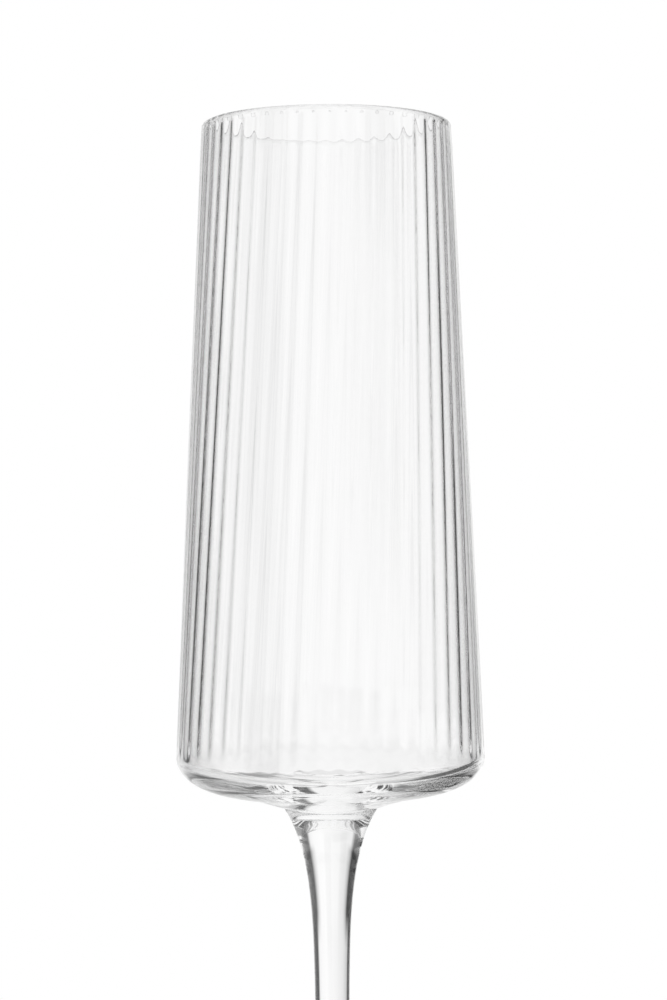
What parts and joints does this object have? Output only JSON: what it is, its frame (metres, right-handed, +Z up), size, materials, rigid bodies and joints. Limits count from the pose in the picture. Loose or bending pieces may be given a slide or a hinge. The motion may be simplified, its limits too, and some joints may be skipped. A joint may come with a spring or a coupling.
{
  "type": "champagne glass",
  "caption": "Tall clear champagne glass: a ribbed bowl that narrows from a thick rounded base to a fine rim, on a slim flared stem and a round foot.",
  "frame": {"origin": "centre of the foot's flat underside, on the glass's axis", "axes": "+Z up along the glass's axis, from the foot to the rim; X and Y lie in the plane that the glass stands on"},
  "size_m": [0.07, 0.07, 0.23],
  "materials": {
    "bowl_glass": "clear moulded glass, fire-polished, smooth outside with shallow upright ribs inside",
    "stem_glass": "clear solid drawn glass, fire-polished",
    "foot_glass": "clear pressed glass, fire-polished, flat underneath"
  },
  "bodies": {
    "root": {"bowl": "bowl_glass", "stem": "stem_glass", "foot": "foot_glass"}
  },
  "joints": []
}
